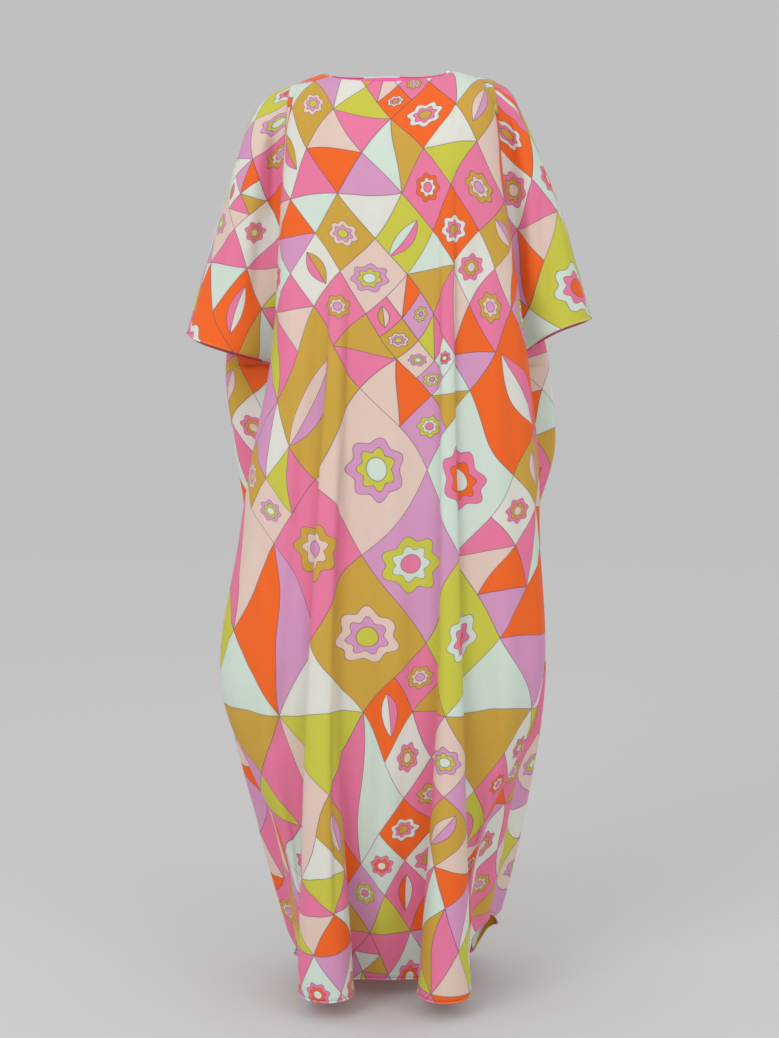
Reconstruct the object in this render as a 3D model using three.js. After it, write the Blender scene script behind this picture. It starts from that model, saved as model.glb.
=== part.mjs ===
import * as THREE from 'three';

// Kaftan of thin printed cloth, hollow and hanging as it is worn, in millimetres.
// The front faces -Y. Right and left are the wearer's: right is -X and left is +X.
// The origin is the middle of the neck, level with the neck end of the shoulder seams.

// Cloth and seams
const WALL = 2;
const SEAM_GAP = 0.3;
const BINDING_GAP = 0.4;
const BINDING_WIDTH = 6;
const BINDING_WALL = 2.8;

// Main heights
const CHEST = -200;
const UNDERARM = -466;
const HEM = -1456;
const HEM_LIFT = { right: 8, left: 86 };

// Neck and shoulders
const NECK = { right: -101, left: 95, frontReach: 70, backReach: 60, frontDrop: 18, backDrop: 6 };
const NECK_POINT = { right: -6, left: -2 };
const SHOULDER = {
  right: { x: -155, z: -24 },
  left: { x: 162, z: -16 },
};
const SHOULDER_ROUND = 0.5;

// Armholes, as distances from the side line at chest height
const ARMHOLE = { front: 62, back: 57 };

// Level sections of the body: where the side line and the turned sides lie across,
// and how far the middle and the turned sides stand forward and back
const OUTLINE = [
  { z: CHEST, seamRight: -166, seamLeft: 176,
    frontRight: -168, frontLeft: 179, backRight: -172, backLeft: 182,
    frontReach: 128, backReach: 114, frontTurn: 74, backTurn: 68 },
  { z: -440, seamRight: -168, seamLeft: 192,
    frontRight: -184, frontLeft: 215, backRight: -264, backLeft: 256,
    frontReach: 136, backReach: 124, frontTurn: 74, backTurn: 80 },
  { z: -600, seamRight: -184, seamLeft: 205,
    frontRight: -216, frontLeft: 234, backRight: -254, backLeft: 271,
    frontReach: 139, backReach: 130, frontTurn: 62, backTurn: 74 },
  { z: -720, seamRight: -208, seamLeft: 218,
    frontRight: -236, frontLeft: 238, backRight: -238, backLeft: 243,
    frontReach: 141, backReach: 135, frontTurn: 58, backTurn: 68 },
  { z: -980, seamRight: -250, seamLeft: 230,
    frontRight: -268, frontLeft: 242, backRight: -270, backLeft: 258,
    frontReach: 138, backReach: 140, frontTurn: 60, backTurn: 62 },
  { z: -1230, seamRight: -185, seamLeft: 190,
    frontRight: -172, frontLeft: 148, backRight: -220, backLeft: 222,
    frontReach: 112, backReach: 115, frontTurn: 58, backTurn: 60 },
  { z: HEM, seamRight: -145, seamLeft: 148,
    frontRight: -141, frontLeft: 128, backRight: -158, backLeft: 167,
    frontReach: 62, backReach: 78, frontTurn: 50, backTurn: 55 },
];

// Hanging folds: the share of the panel from and to, the height where each starts and
// over how much height it grows, and at four heights its middle, half width,
// overhang of its right and left sides, and rise
const FOLDS = {
  front: [
    { name: 'right side', from: 0.1, to: 0.23, start: -300, over: 260,
      rows: [{ z: CHEST, x: -132, half: 24, lipRight: 0, lipLeft: 0, rise: 4 },
        { z: -440, x: -132, half: 20, lipRight: 0, lipLeft: 0, rise: 5 },
        { z: -980, x: -192, half: 34, lipRight: 0, lipLeft: 0, rise: 10 },
        { z: HEM, x: -136, half: 3, lipRight: 0, lipLeft: 0, rise: 1 }] },
    { name: 'right lobe', from: 0.24, to: 0.44, start: -190, over: 330,
      rows: [{ z: CHEST, x: -72, half: 28, lipRight: 3, lipLeft: 0, rise: 10 },
        { z: -440, x: -80, half: 17, lipRight: 9, lipLeft: 2, rise: 15 },
        { z: -980, x: -98, half: 27, lipRight: 18, lipLeft: 4, rise: 32 },
        { z: HEM, x: -100, half: 30, lipRight: 34, lipLeft: 29, rise: 118 }] },
    { name: 'middle', from: 0.46, to: 0.58, start: -300, over: 260,
      rows: [{ z: CHEST, x: 8, half: 28, lipRight: 0, lipLeft: 0, rise: 3 },
        { z: -440, x: 5, half: 34, lipRight: 0, lipLeft: 0, rise: 5 },
        { z: -980, x: 0, half: 36, lipRight: 0, lipLeft: 0, rise: 8 },
        { z: HEM, x: -5, half: 34, lipRight: 0, lipLeft: 0, rise: 4 }] },
    { name: 'left ridge', from: 0.59, to: 0.79, start: -80, over: 320,
      rows: [{ z: CHEST, x: 87, half: 15, lipRight: 1, lipLeft: 9, rise: 12 },
        { z: -440, x: 87, half: 10, lipRight: 3, lipLeft: 8, rise: 13 },
        { z: -980, x: 93, half: 17, lipRight: 10, lipLeft: 14, rise: 34 },
        { z: HEM, x: 88, half: 27, lipRight: 31, lipLeft: 30, rise: 122 }] },
    { name: 'left side', from: 0.8, to: 0.9, start: -270, over: 260,
      rows: [{ z: CHEST, x: 148, half: 20, lipRight: 0, lipLeft: 0, rise: 5 },
        { z: -440, x: 160, half: 24, lipRight: 0, lipLeft: 0, rise: 7 },
        { z: -980, x: 186, half: 34, lipRight: 0, lipLeft: 0, rise: 11 },
        { z: HEM, x: 124, half: 3, lipRight: 0, lipLeft: 0, rise: 1 }] },
  ],
  back: [
    { name: 'right side', from: 0.1, to: 0.22, start: -270, over: 260,
      rows: [{ z: CHEST, x: -140, half: 24, lipRight: 0, lipLeft: 0, rise: 5 },
        { z: -440, x: -190, half: 30, lipRight: 0, lipLeft: 0, rise: 8 },
        { z: -980, x: -200, half: 32, lipRight: 0, lipLeft: 0, rise: 10 },
        { z: HEM, x: -136, half: 10, lipRight: 0, lipLeft: 0, rise: 6 }] },
    { name: 'right lobe', from: 0.23, to: 0.41, start: -150, over: 340,
      rows: [{ z: CHEST, x: -84, half: 26, lipRight: 0, lipLeft: 3, rise: 9 },
        { z: -440, x: -96, half: 17, lipRight: 3, lipLeft: 8, rise: 13 },
        { z: -980, x: -112, half: 24, lipRight: 9, lipLeft: 16, rise: 28 },
        { z: HEM, x: -90, half: 28, lipRight: 24, lipLeft: 24, rise: 88 }] },
    { name: 'middle lobe', from: 0.43, to: 0.59, start: -280, over: 300,
      rows: [{ z: CHEST, x: 6, half: 28, lipRight: 0, lipLeft: 0, rise: 6 },
        { z: -440, x: 4, half: 22, lipRight: 2, lipLeft: 1, rise: 8 },
        { z: -980, x: 8, half: 28, lipRight: 9, lipLeft: 5, rise: 20 },
        { z: HEM, x: 12, half: 29, lipRight: 18, lipLeft: 18, rise: 66 }] },
    { name: 'left lobe', from: 0.61, to: 0.79, start: -190, over: 320,
      rows: [{ z: CHEST, x: 94, half: 26, lipRight: 3, lipLeft: 2, rise: 9 },
        { z: -440, x: 104, half: 16, lipRight: 7, lipLeft: 4, rise: 12 },
        { z: -980, x: 120, half: 24, lipRight: 15, lipLeft: 10, rise: 30 },
        { z: HEM, x: 106, half: 28, lipRight: 26, lipLeft: 26, rise: 94 }] },
    { name: 'left side', from: 0.8, to: 0.9, start: -270, over: 260,
      rows: [{ z: CHEST, x: 152, half: 20, lipRight: 0, lipLeft: 0, rise: 5 },
        { z: -440, x: 186, half: 30, lipRight: 0, lipLeft: 0, rise: 8 },
        { z: -980, x: 200, half: 32, lipRight: 0, lipLeft: 0, rise: 10 },
        { z: HEM, x: 148, half: 9, lipRight: 0, lipLeft: 0, rise: 5 }] },
  ],
};

// The least room between a fold and a side of its panel, as a share of an even spread
const FOLD_ROOM = 0.35;

// Sleeves: the tip of each cuff, the overarm line as shares of its drop and of its reach
// on each side, how far each half stands off the arm and hangs lower at the cuff, how the
// cuff line sweeps down to the underarm, and the furrow beside the armhole
const CUFF_TIP = { right: { x: -323, z: -412 }, left: { x: 322, z: -388 } };
const OVERARM = [
  { z: 0, right: 0, left: 0 },
  { z: 0.04, right: 0.2, left: 0.16 },
  { z: 0.12, right: 0.36, left: 0.27 },
  { z: 0.22, right: 0.46, left: 0.38 },
  { z: 0.44, right: 0.615, left: 0.59 },
  { z: 0.625, right: 0.75, left: 0.745 },
  { z: 1, right: 1, left: 1 },
];
const SLEEVE_STANDS = { front: { top: 66, cuff: 60 }, back: { top: 52, cuff: 36 } };
const CUFF_DROP = { front: 0, back: 11 };
const CUFF_SWEEP = { right: 1.2, left: 2.3 };
const FURROW = { across: 14, back: 15 };

// Meshing, with the columns that the turned side and the shoulder seam take on each side
const ROWS = { top: 8, armhole: 6, below: 22 };
const COLUMNS = { panel: 50, side: 4, shoulder: 9, sleeve: 8 };
const SIDE_SHARE = COLUMNS.side / COLUMNS.panel;
const SHOULDER_SHARE = COLUMNS.shoulder / COLUMNS.panel;

const SIDES = { front: -1, back: 1 };

const mix = (a, b, t) => a + (b - a) * t;
const clamp = (t) => Math.min(Math.max(t, 0), 1);
const smooth = (t) => clamp(t) ** 2 * (3 - 2 * clamp(t));

// A named column of a table at height z, as a smooth curve through its rows
function column(rows, name, z) {
  const last = rows.length - 1;
  const down = Math.sign(rows[last].z - rows[0].z);
  let i = 0;
  while (i < last - 1 && (z - rows[i + 1].z) * down > 0) i += 1;
  const slope = (k) => {
    const before = rows[Math.max(k - 1, 0)];
    const after = rows[Math.min(k + 1, last)];
    return (after[name] - before[name]) / (after.z - before.z);
  };
  const span = rows[i + 1].z - rows[i].z;
  const t = clamp((z - rows[i].z) / span);
  const ease = t * t * (3 - 2 * t);
  const bend = slope(i) * t * (1 - t) ** 2 - slope(i + 1) * t * t * (1 - t);
  return mix(rows[i][name], rows[i + 1][name], ease) + bend * span;
}

// The side line, parted into the two armhole edges above the underarm
function sidePoint(face, side, z) {
  const x = column(OUTLINE, `seam${side}`, z);
  const drop = clamp((CHEST - z) / (CHEST - UNDERARM));
  const open = z > UNDERARM ? ARMHOLE[face] * Math.sqrt(1 - drop * drop) : 0;
  return new THREE.Vector2(x, SIDES[face] * open);
}

// The turned side of a panel, from its side line (t = 0) to its widest point (t = 1)
function turnPoint(face, side, t, z) {
  const seam = sidePoint(face, side, z);
  const wide = new THREE.Vector2(
    column(OUTLINE, `${face}${side}`, z),
    SIDES[face] * column(OUTLINE, `${face}Turn`, z),
  );
  const leave = new THREE.Vector2(mix(seam.x, wide.x, 0.05), mix(seam.y, wide.y, 0.75));
  const arrive = new THREE.Vector2(wide.x, mix(wide.y, seam.y, 0.5));
  return new THREE.CubicBezierCurve(seam, leave, arrive, wide).getPoint(t);
}

// The smooth face of a panel between its two widest points, at x
function facePoint(face, x, z) {
  const from = column(OUTLINE, `${face}Right`, z);
  const to = column(OUTLINE, `${face}Left`, z);
  const turn = column(OUTLINE, `${face}Turn`, z);
  const reach = column(OUTLINE, `${face}Reach`, z);
  const across = clamp(Math.abs((2 * x - from - to) / (to - from)));
  const roundness = 2.5;
  const y = mix(turn, reach, (1 - across ** roundness) ** (1 / roundness));
  return new THREE.Vector2(x, SIDES[face] * y);
}

// Where share u of a panel lies across its face, kept in step with the folds' edges
function acrossFace(face, u, z) {
  const right = column(OUTLINE, `${face}Right`, z);
  const left = column(OUTLINE, `${face}Left`, z);
  const room = (left - right) * FOLD_ROOM;
  const edges = [{ u: SIDE_SHARE, x: right }];
  for (const fold of FOLDS[face]) {
    const middle = column(fold.rows, 'x', z);
    const half = column(fold.rows, 'half', z);
    for (const [share, x] of [[fold.from, middle - half], [fold.to, middle + half]]) {
      const least = right + room * (share - SIDE_SHARE);
      const most = left - room * (1 - SIDE_SHARE - share);
      edges.push({ u: share, x: Math.min(Math.max(x, least), most) });
    }
  }
  edges.push({ u: 1 - SIDE_SHARE, x: left });
  let i = 0;
  while (i < edges.length - 2 && u > edges[i + 1].u) i += 1;
  const share = clamp((u - edges[i].u) / (edges[i + 1].u - edges[i].u));
  return mix(edges[i].x, edges[i + 1].x, share);
}

// The push of one fold on share u: outward, and sideways so that its sides overhang
function foldPush(fold, u, z) {
  const q = (2 * u - fold.from - fold.to) / (fold.to - fold.from);
  if (Math.abs(q) >= 1) return { out: 0, along: 0 };
  const grown = smooth((fold.start - z) / fold.over);
  const bell = (1 - q * q) ** 2;
  const lip = column(fold.rows, q < 0 ? 'lipRight' : 'lipLeft', z);
  return {
    out: grown * column(fold.rows, 'rise', z) * bell,
    along: grown * lip * 3.494 * q * bell,
  };
}

// A panel's section at a level height on or below the chest
function levelPoint(face, u, z) {
  if (u < SIDE_SHARE) return turnPoint(face, 'Right', u / SIDE_SHARE, z);
  if (u > 1 - SIDE_SHARE) return turnPoint(face, 'Left', (1 - u) / SIDE_SHARE, z);
  const point = facePoint(face, acrossFace(face, u, z), z);
  for (const fold of FOLDS[face]) {
    const push = foldPush(fold, u, z);
    point.x += push.along;
    point.y += SIDES[face] * push.out;
  }
  return point;
}

// The top edge of a panel: shoulder seam, neckline and shoulder seam
function topPoint(face, u) {
  if (u <= SHOULDER_SHARE) {
    const t = u / SHOULDER_SHARE;
    return new THREE.Vector3(mix(SHOULDER.right.x, NECK.right, t), 0, mix(SHOULDER.right.z, NECK_POINT.right, t));
  }
  if (u >= 1 - SHOULDER_SHARE) {
    const t = (1 - u) / SHOULDER_SHARE;
    return new THREE.Vector3(mix(SHOULDER.left.x, NECK.left, t), 0, mix(SHOULDER.left.z, NECK_POINT.left, t));
  }
  const t = (u - SHOULDER_SHARE) / (1 - 2 * SHOULDER_SHARE);
  const angle = Math.PI * t;
  const level = mix(NECK_POINT.right, NECK_POINT.left, t);
  const middle = (NECK.left + NECK.right) / 2;
  const half = (NECK.left - NECK.right) / 2;
  return new THREE.Vector3(
    middle - half * Math.cos(angle),
    SIDES[face] * NECK[`${face}Reach`] * Math.sin(angle) ** 0.9,
    level - NECK[`${face}Drop`] * Math.sin(angle),
  );
}

// A panel's middle surface at share u across and at a row: rows run from the top edge
// to the chest, on to the underarm, and down to the hem
function panelPoint(face, u, row) {
  if (row < ROWS.top) {
    const f = (row / ROWS.top) ** 1.8;
    const top = topPoint(face, u);
    const chest = levelPoint(face, u, CHEST);
    const round = Math.sqrt(1 - (1 - Math.min(f / SHOULDER_ROUND, 1)) ** 2);
    const slope = 1 - (1 - f) ** 2;
    const neck = u > SHOULDER_SHARE && u < 1 - SHOULDER_SHARE
      ? Math.sin(Math.PI * (u - SHOULDER_SHARE) / (1 - 2 * SHOULDER_SHARE))
      : 0;
    const turned = mix(round, slope, neck);
    const inner = clamp(Math.min(u, 1 - u) / SHOULDER_SHARE);
    return new THREE.Vector3(
      mix(top.x, chest.x, mix(f ** 0.7, turned, inner)),
      mix(top.y, chest.y, turned),
      mix(top.z, CHEST, f),
    );
  }
  const armhole = Math.sin(Math.PI / 2 * clamp((row - ROWS.top) / ROWS.armhole));
  const below = clamp((row - ROWS.top - ROWS.armhole) / ROWS.below);
  const level = mix(mix(CHEST, UNDERARM, armhole), HEM, below);
  const lift = mix(
    HEM_LIFT.right * smooth((0.2 - u) / 0.2),
    HEM_LIFT.left * smooth((u - 0.78) / 0.22),
    u,
  );
  const height = level + lift * below ** 3;
  const point = levelPoint(face, u, height);
  return new THREE.Vector3(point.x, point.y, height);
}

function panelGrid(face) {
  const count = ROWS.top + ROWS.armhole + ROWS.below;
  const grid = [];
  for (let row = 0; row <= count; row += 1) {
    const line = [];
    for (let i = 0; i <= COLUMNS.panel; i += 1) line.push(panelPoint(face, i / COLUMNS.panel, row));
    grid.push(line);
  }
  return grid;
}

// A point of the overarm line, level with a point of the armhole edge
function overarmPoint(side, armhole) {
  const start = SHOULDER[side];
  const tip = CUFF_TIP[side];
  const drop = (armhole.z - start.z) / (UNDERARM - start.z);
  const reach = column(OVERARM, side, drop);
  return new THREE.Vector3(mix(start.x, tip.x, reach), 0, mix(start.z, tip.z, drop));
}

// One row of a sleeve half, from the overarm line (w = 0) to the armhole edge (w = 1)
function sleevePoint(face, side, armhole, w) {
  const outer = overarmPoint(side, armhole);
  const drop = (armhole.z - SHOULDER[side].z) / (UNDERARM - SHOULDER[side].z);
  const stands = SLEEVE_STANDS[face];
  const opened = smooth(Math.sqrt(drop) / 0.55);
  const reach = SIDES[face] * Math.max(
    mix(stands.top, stands.cuff, drop) * opened,
    Math.abs(armhole.y) * 0.8 * (1 - opened),
  );
  const away = Math.sign(outer.x) * FURROW.across * opened;
  const furrow = mix(armhole.y, reach, 0.15) - SIDES[face] * FURROW.back * opened * Math.sin(Math.PI * drop);
  const stations = [
    { z: 0, x: outer.x, y: outer.y },
    { z: 0.2, x: mix(outer.x, armhole.x, 0.1), y: reach * 0.66 },
    { z: 0.5, x: mix(outer.x, armhole.x, 0.45), y: reach },
    { z: 0.85, x: mix(outer.x, armhole.x, 0.96) + away, y: furrow },
    { z: 1, x: armhole.x, y: armhole.y },
  ];
  const lower = CUFF_DROP[face] * drop ** 4 * Math.sin(Math.PI * w);
  return new THREE.Vector3(
    column(stations, 'x', w),
    column(stations, 'y', w),
    mix(outer.z, armhole.z, w ** CUFF_SWEEP[side]) - lower,
  );
}

function sleeveGrid(face, side) {
  const share = side === 'right' ? 0 : 1;
  const grid = [];
  for (let row = 0; row <= ROWS.top + ROWS.armhole; row += 1) {
    const armhole = panelPoint(face, share, row);
    const line = [];
    for (let i = 0; i <= COLUMNS.sleeve; i += 1) {
      line.push(sleevePoint(face, side, armhole, i / COLUMNS.sleeve));
    }
    grid.push(line);
  }
  return grid;
}

// Vertex normals of a grid, turned to face out of the garment
function gridNormals(grid, flip) {
  return grid.map((line, j) => line.map((point, i) => {
    const across = line[Math.min(i + 1, line.length - 1)].clone().sub(line[Math.max(i - 1, 0)]);
    const below = grid[Math.min(j + 1, grid.length - 1)][i];
    const above = grid[Math.max(j - 1, 0)][i];
    const down = below.clone().sub(above);
    return across.cross(down).normalize().multiplyScalar(flip);
  }));
}

const placeKey = (point) => [point.x, point.y, point.z].map((value) => Math.round(value * 50)).join(' ');

function borderIndices(grid) {
  const found = [];
  grid.forEach((line, j) => line.forEach((point, i) => {
    const edge = j === 0 || j === grid.length - 1 || i === 0 || i === line.length - 1;
    if (edge) found.push([j, i]);
  }));
  return found;
}

// Panels that share a seam share its normals, so that their rims face each other
function shareNormals(panels) {
  const sums = new Map();
  for (const { grid, normals } of panels) {
    const seen = new Set();
    for (const [j, i] of borderIndices(grid)) {
      const key = placeKey(grid[j][i]);
      if (seen.has(key)) continue;
      seen.add(key);
      const entry = sums.get(key) ?? { normal: new THREE.Vector3(), panels: 0 };
      entry.normal.add(normals[j][i]);
      entry.panels += 1;
      sums.set(key, entry);
    }
  }
  for (const panel of panels) {
    panel.shared = new Set();
    for (const [j, i] of borderIndices(panel.grid)) {
      const entry = sums.get(placeKey(panel.grid[j][i]));
      panel.normals[j][i] = entry.normal.clone().normalize();
      if (entry.panels > 1) panel.shared.add(`${j} ${i}`);
    }
  }
}

// The shift of a seam vertex into its own panel, square to the seam and in the cloth.
// The seam runs along a column of the grid (lengthwise) or along a row.
function seamShift({ grid, normals, shared }, j, i, lengthwise) {
  const [dj, di] = lengthwise ? [1, 0] : [0, 1];
  const before = shared.has(`${j - dj} ${i - di}`) ? grid[j - dj][i - di] : grid[j][i];
  const after = shared.has(`${j + dj} ${i + di}`) ? grid[j + dj][i + di] : grid[j][i];
  const inward = after.clone().sub(before).cross(normals[j][i]).normalize();
  const besideRow = lengthwise ? Math.max(j, 1) : j;
  const edge = grid[besideRow][i];
  const inner = lengthwise ? grid[besideRow][i === 0 ? 1 : i - 1] : grid[j === 0 ? 1 : j - 1][i];
  return inward.multiplyScalar(Math.sign(inward.dot(inner.clone().sub(edge))) * SEAM_GAP / 2);
}

// Moves every seam edge into its panel by half of the seam gap
function openSeams(panel) {
  const { grid, shared } = panel;
  const lastRow = grid.length - 1;
  const lastColumn = grid[0].length - 1;
  const shifts = [];
  for (const [j, i] of borderIndices(grid)) {
    if (!shared.has(`${j} ${i}`)) continue;
    const shift = new THREE.Vector3();
    if (i === 0 || i === lastColumn) shift.add(seamShift(panel, j, i, true));
    if (j === 0 || j === lastRow) shift.add(seamShift(panel, j, i, false));
    shifts.push({ j, i, shift });
  }
  if (panel.pointed) {
    const corners = shifts.filter(({ j, i }) => j === 0 && (i === 0 || i === lastColumn));
    const both = corners[0].shift.clone().add(corners[1].shift);
    for (const entry of shifts.filter(({ j }) => j === 0)) entry.shift = both;
  }
  for (const { j, i, shift } of shifts) grid[j][i].add(shift);
}

// Closed solid from two skins over a grid, with rims, less the flat triangles at a pointed end
function wallGeometry({ grid, normals, flip }, thickness) {
  const rows = grid.length;
  const columns = grid[0].length;
  const position = [];
  for (const side of [1, -1]) {
    grid.forEach((line, j) => line.forEach((point, i) => {
      const moved = point.clone().addScaledVector(normals[j][i], side * thickness / 2);
      position.push(moved.x, moved.y, moved.z);
    }));
  }
  const at = (skin, j, i) => skin * rows * columns + j * columns + i;
  const same = (a, b) => [0, 1, 2].every((k) => Math.abs(position[3 * a + k] - position[3 * b + k]) < 1e-4);
  const index = [];
  const face = (a, b, c) => {
    if (same(a, b) || same(b, c) || same(c, a)) return;
    if (flip > 0) index.push(a, b, c);
    else index.push(a, c, b);
  };
  const quad = (a, b, c, d) => {
    face(a, b, c);
    face(a, c, d);
  };
  for (let j = 0; j < rows - 1; j += 1) {
    for (let i = 0; i < columns - 1; i += 1) {
      quad(at(0, j, i), at(0, j, i + 1), at(0, j + 1, i + 1), at(0, j + 1, i));
      quad(at(1, j, i), at(1, j + 1, i), at(1, j + 1, i + 1), at(1, j, i + 1));
    }
  }
  for (let i = 0; i < columns - 1; i += 1) {
    quad(at(0, 0, i), at(1, 0, i), at(1, 0, i + 1), at(0, 0, i + 1));
    quad(at(0, rows - 1, i), at(0, rows - 1, i + 1), at(1, rows - 1, i + 1), at(1, rows - 1, i));
  }
  for (let j = 0; j < rows - 1; j += 1) {
    quad(at(0, j, 0), at(0, j + 1, 0), at(1, j + 1, 0), at(1, j, 0));
    quad(at(0, j, columns - 1), at(1, j, columns - 1), at(1, j + 1, columns - 1), at(0, j + 1, columns - 1));
  }
  const geometry = new THREE.BufferGeometry();
  geometry.setAttribute('position', new THREE.Float32BufferAttribute(position, 3));
  geometry.setIndex(index);
  return geometry;
}

// Both panels and the four sleeve halves, with their seams opened
function cutPieces() {
  const pieces = [
    { name: 'body_front', color: '#e678ac', grid: panelGrid('front'), flip: -1 },
    { name: 'body_back', color: '#cf93cd', grid: panelGrid('back'), flip: 1 },
  ];
  for (const [side, outward] of [['right', -1], ['left', 1]]) {
    pieces.push(
      { name: `sleeve_${side}_front`, color: '#ee6a2c', grid: sleeveGrid('front', side), flip: outward, pointed: true },
      { name: `sleeve_${side}_back`, color: '#c3c944', grid: sleeveGrid('back', side), flip: -outward, pointed: true },
    );
  }
  for (const piece of pieces) piece.normals = gridNormals(piece.grid, piece.flip);
  shareNormals(pieces);
  return pieces;
}

// The stations of the neckline, once round: the front edge, then the back edge
function neckStations([front, back]) {
  const stations = [];
  const add = ({ grid, normals }, i) => stations.push({ point: grid[0][i].clone(), normal: normals[0][i].clone() });
  for (let i = COLUMNS.shoulder; i <= COLUMNS.panel - COLUMNS.shoulder; i += 1) add(front, i);
  for (let i = COLUMNS.panel - COLUMNS.shoulder - 1; i > COLUMNS.shoulder; i -= 1) add(back, i);
  return stations;
}

// A closed strip that carries the panels' surface on past the neckline
function bindingGeometry(stations) {
  const count = stations.length;
  const position = [];
  stations.forEach(({ point, normal }, k) => {
    const along = stations[(k + 1) % count].point.clone().sub(stations[(k + count - 1) % count].point);
    const inward = normal.clone().cross(along).normalize();
    const out = along.clone().cross(inward).normalize();
    for (const [across, rise] of [[0, 1], [1, 1], [1, -1], [0, -1]]) {
      const corner = point.clone()
        .addScaledVector(inward, BINDING_GAP + across * BINDING_WIDTH)
        .addScaledVector(out, rise * BINDING_WALL / 2);
      position.push(corner.x, corner.y, corner.z);
    }
  });
  const index = [];
  for (let k = 0; k < count; k += 1) {
    for (let c = 0; c < 4; c += 1) {
      const here = 4 * k;
      const next = 4 * ((k + 1) % count);
      const d = (c + 1) % 4;
      index.push(here + c, next + d, here + d, here + c, next + c, next + d);
    }
  }
  const geometry = new THREE.BufferGeometry();
  geometry.setAttribute('position', new THREE.Float32BufferAttribute(position, 3));
  geometry.setIndex(index);
  return geometry;
}

function clothMesh(name, color, geometry) {
  geometry.computeVertexNormals();
  const mesh = new THREE.Mesh(geometry, new THREE.MeshStandardMaterial({ color, roughness: 0.75, metalness: 0 }));
  mesh.name = name;
  return mesh;
}

const kaftan = new THREE.Group();
kaftan.name = 'kaftan';
const pieces = cutPieces();
const binding = bindingGeometry(neckStations(pieces));
for (const piece of pieces) {
  openSeams(piece);
  if (piece.pointed) {
    const lastRow = piece.grid.length - 1;
    const corner = piece.grid[lastRow][COLUMNS.sleeve];
    const above = piece.grid[lastRow - 1][COLUMNS.sleeve];
    corner.addScaledVector(above.clone().sub(corner).normalize(), SEAM_GAP);
  }
  kaftan.add(clothMesh(piece.name, piece.color, wallGeometry(piece, WALL)));
}
kaftan.add(clothMesh('neck_binding', '#dd4f9a', binding));

export default kaftan;
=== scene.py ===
import math

import bpy
import numpy as np
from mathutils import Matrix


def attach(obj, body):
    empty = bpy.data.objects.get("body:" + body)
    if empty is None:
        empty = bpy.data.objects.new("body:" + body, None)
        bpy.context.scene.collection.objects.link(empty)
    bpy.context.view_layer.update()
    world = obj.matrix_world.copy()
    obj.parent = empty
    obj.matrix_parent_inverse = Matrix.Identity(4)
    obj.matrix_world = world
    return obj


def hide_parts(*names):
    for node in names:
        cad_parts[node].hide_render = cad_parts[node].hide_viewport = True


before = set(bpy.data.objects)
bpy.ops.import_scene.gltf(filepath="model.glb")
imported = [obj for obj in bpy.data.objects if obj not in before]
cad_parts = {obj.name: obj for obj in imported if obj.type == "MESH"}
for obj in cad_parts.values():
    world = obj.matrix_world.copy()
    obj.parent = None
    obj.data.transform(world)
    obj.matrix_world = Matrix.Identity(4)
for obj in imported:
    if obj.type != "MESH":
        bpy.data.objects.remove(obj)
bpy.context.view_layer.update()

bpy.ops.object.select_all(action="DESELECT")

# Kaftan of thin printed voile, hollow and hanging as it is worn.
# Sizes are millimetres and become metres when a mesh is made. The front faces -Y,
# and right and left are the wearer's: right is -X and left is +X.

MM = 0.001
CLOTH = 0.9
HEM_ROLL = 1.5
HEM_ROLL_FLAT = 1.15
HEM_ROLL_SIDES = 8
BINDING = {"width": 6.2, "thick": 2.6, "sides": 14, "squared": 2 / 2.8, "past_edge": 0.6}

CHEST = -200
UNDERARM = -466
HEM = -1456
HEM_LIFT = {"right": 8, "left": 86}
HEM_LIFT_SHARE = {"right": 0.2, "left": 0.22}
HEM_LIFT_CURVE = 3

NECK = {"right": -101, "left": 95, "frontReach": 70, "backReach": 60, "frontDrop": 18, "backDrop": 6}
NECK_POINT = {"right": -6, "left": -2}
SHOULDER = {"right": {"x": -155, "z": -24}, "left": {"x": 162, "z": -16}}
SHOULDER_ROUND = 0.5
YOKE = {"spacing": 1.8, "side_spread": 0.7, "neck_curve": 0.9}
ARMHOLE = {"front": 62, "back": 57}

# Level sections of the body: the side line, the turned sides, and how far each face stands out
OUTLINE_NAMES = ("z", "seamRight", "seamLeft", "frontRight", "frontLeft", "backRight", "backLeft",
                 "frontReach", "backReach", "frontTurn", "backTurn")
OUTLINE = [dict(zip(OUTLINE_NAMES, row)) for row in (
    (CHEST, -166, 176, -168, 179, -172, 182, 128, 114, 74, 68),
    (-440, -168, 192, -184, 215, -264, 256, 136, 124, 74, 80),
    (-600, -184, 205, -216, 234, -254, 271, 139, 130, 62, 74),
    (-720, -208, 218, -236, 238, -238, 243, 141, 135, 58, 68),
    (-980, -250, 230, -268, 242, -270, 258, 138, 140, 60, 62),
    (-1230, -185, 190, -172, 148, -220, 222, 112, 115, 58, 60),
    (HEM, -145, 148, -141, 128, -158, 167, 62, 78, 50, 55),
)]

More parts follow.
